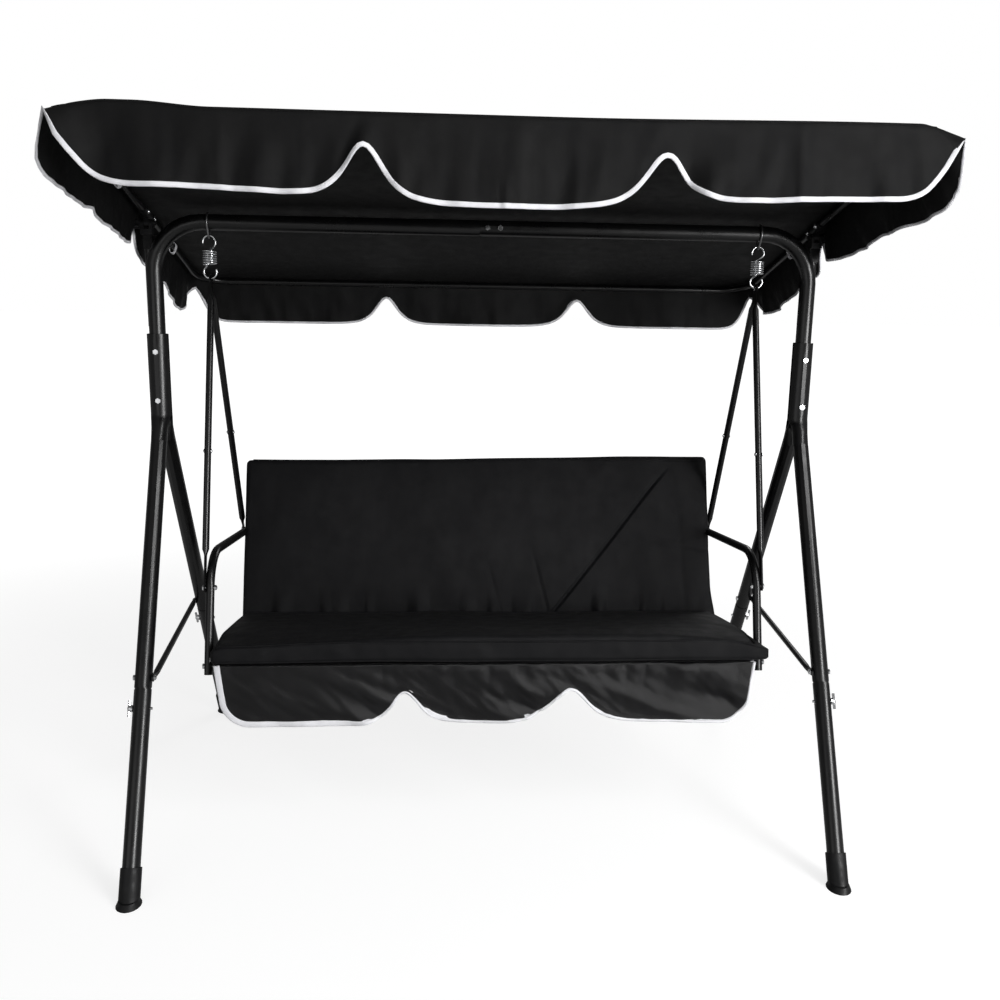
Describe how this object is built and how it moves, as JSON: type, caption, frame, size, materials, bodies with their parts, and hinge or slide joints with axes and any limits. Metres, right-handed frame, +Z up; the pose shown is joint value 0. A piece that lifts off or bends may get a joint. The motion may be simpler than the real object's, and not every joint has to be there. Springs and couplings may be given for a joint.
{
  "type": "canopy swing bench",
  "caption": "Garden swing bench with a padded seat hung on springs from a tube frame, under a tilting fabric canopy.",
  "frame": {"origin": "on the ground, midway between the two side frames and midway between the front and rear feet", "axes": "+Z up, +Y towards the backrest, +X to the right of someone who stands in front of the bench and looks at it"},
  "size_m": [1.6656, 1.0835, 1.614],
  "materials": {
    "frame_paint": "satin black powder coat",
    "zinc": "bright zinc plating",
    "black_plastic": "fine moulded texture",
    "black_fabric": "plain woven polyester with white edge piping"
  },
  "bodies": {
    "frame": {"brace_bolt_front_left": "zinc", "brace_bolt_front_right": "zinc", "brace_bolt_rear_left": "zinc", "brace_bolt_rear_right": "zinc", "brace_left": "frame_paint", "brace_right": "frame_paint", "canopy_bracket_left": "black_plastic", "canopy_bracket_right": "black_plastic", "clamp_bolt_left_1": "zinc", "clamp_bolt_left_2": "zinc", "clamp_bolt_right_1": "zinc", "clamp_bolt_right_2": "zinc", "foot_cap_front_left": "black_plastic", "foot_cap_front_right": "black_plastic", "foot_cap_rear_left": "black_plastic", "foot_cap_rear_right": "black_plastic", "leg_lower_front_left": "frame_paint", "leg_lower_front_right": "frame_paint", "leg_lower_rear_left": "frame_paint", "leg_lower_rear_right": "frame_paint", "leg_upper_front_left": "frame_paint", "leg_upper_front_right": "frame_paint", "leg_upper_rear_left": "frame_paint", "leg_upper_rear_right": "frame_paint", "top_bar_left": "frame_paint", "top_bar_right": "frame_paint", "top_bar_screw_1": "zinc", "top_bar_screw_2": "zinc"},
    "canopy": {"canopy_fabric": "black_fabric", "canopy_joiner_left": "black_plastic", "canopy_joiner_right": "black_plastic", "canopy_rod_front": "frame_paint", "canopy_rod_rear": "frame_paint"},
    "hanger": {"hanger_loop_left": "zinc", "hanger_loop_right": "zinc", "spring_left": "zinc", "spring_right": "zinc"},
    "seat": {"arm_bolt_left": "zinc", "arm_bolt_right": "zinc", "armrest_left": "frame_paint", "armrest_right": "frame_paint", "back_cushion": "black_fabric", "back_frame": "frame_paint", "hanger_bolt_front_left": "zinc", "hanger_bolt_front_right": "zinc", "hanger_bolt_rear_left": "zinc", "hanger_bolt_rear_right": "zinc", "hanger_rod_front_left": "frame_paint", "hanger_rod_front_right": "frame_paint", "hanger_rod_rear_left": "frame_paint", "hanger_rod_rear_right": "frame_paint", "seat_cushion": "black_fabric", "seat_frame": "frame_paint", "seat_skirt": "black_fabric"},
    "canopy_knob_left": {"canopy_knob_left": "black_plastic"},
    "canopy_knob_right": {"canopy_knob_right": "black_plastic"},
    "wing_screw_front_left": {"wing_screw_front_left": "zinc"},
    "wing_screw_front_right": {"wing_screw_front_right": "zinc"},
    "wing_screw_rear_left": {"wing_screw_rear_left": "zinc"},
    "wing_screw_rear_right": {"wing_screw_rear_right": "zinc"}
  },
  "joints": [
    {"name": "canopy_tilt", "type": "hinge", "parent": "frame", "child": "canopy", "pos_m": [0, 0.005, 1.435], "axis": [1, 0, 0], "range_deg": [-10, 14]},
    {"name": "seat_swing", "type": "hinge", "parent": "frame", "child": "hanger", "pos_m": [0, 0, 1.44], "axis": [1, 0, 0], "range_deg": [-20, 20]},
    {"name": "seat_bounce", "type": "slide", "parent": "hanger", "child": "seat", "axis": [0, 0, 1], "range_m": [-0.045, 0], "stiffness_N_per_m": 40000, "springref_m": 0.0037, "deforming": ["spring_left", "spring_right"]},
    {"name": "canopy_knob_left_turn", "type": "hinge", "parent": "frame", "child": "canopy_knob_left", "pos_m": [-0.82, 0.005, 1.435], "axis": [1, 0, 0], "continuous": true},
    {"name": "canopy_knob_right_turn", "type": "hinge", "parent": "frame", "child": "canopy_knob_right", "pos_m": [0.82, 0.005, 1.435], "axis": [1, 0, 0], "continuous": true},
    {"name": "wing_screw_front_left_turn", "type": "hinge", "parent": "frame", "child": "wing_screw_front_left", "pos_m": [-0.78007, -0.324, 0.364], "axis": [1, 0, 0], "continuous": true},
    {"name": "wing_screw_front_right_turn", "type": "hinge", "parent": "frame", "child": "wing_screw_front_right", "pos_m": [0.78007, -0.324, 0.364], "axis": [1, 0, 0], "continuous": true},
    {"name": "wing_screw_rear_left_turn", "type": "hinge", "parent": "frame", "child": "wing_screw_rear_left", "pos_m": [-0.78007, 0.324, 0.364], "axis": [1, 0, 0], "continuous": true},
    {"name": "wing_screw_rear_right_turn", "type": "hinge", "parent": "frame", "child": "wing_screw_rear_right", "pos_m": [0.78007, 0.324, 0.364], "axis": [1, 0, 0], "continuous": true}
  ]
}
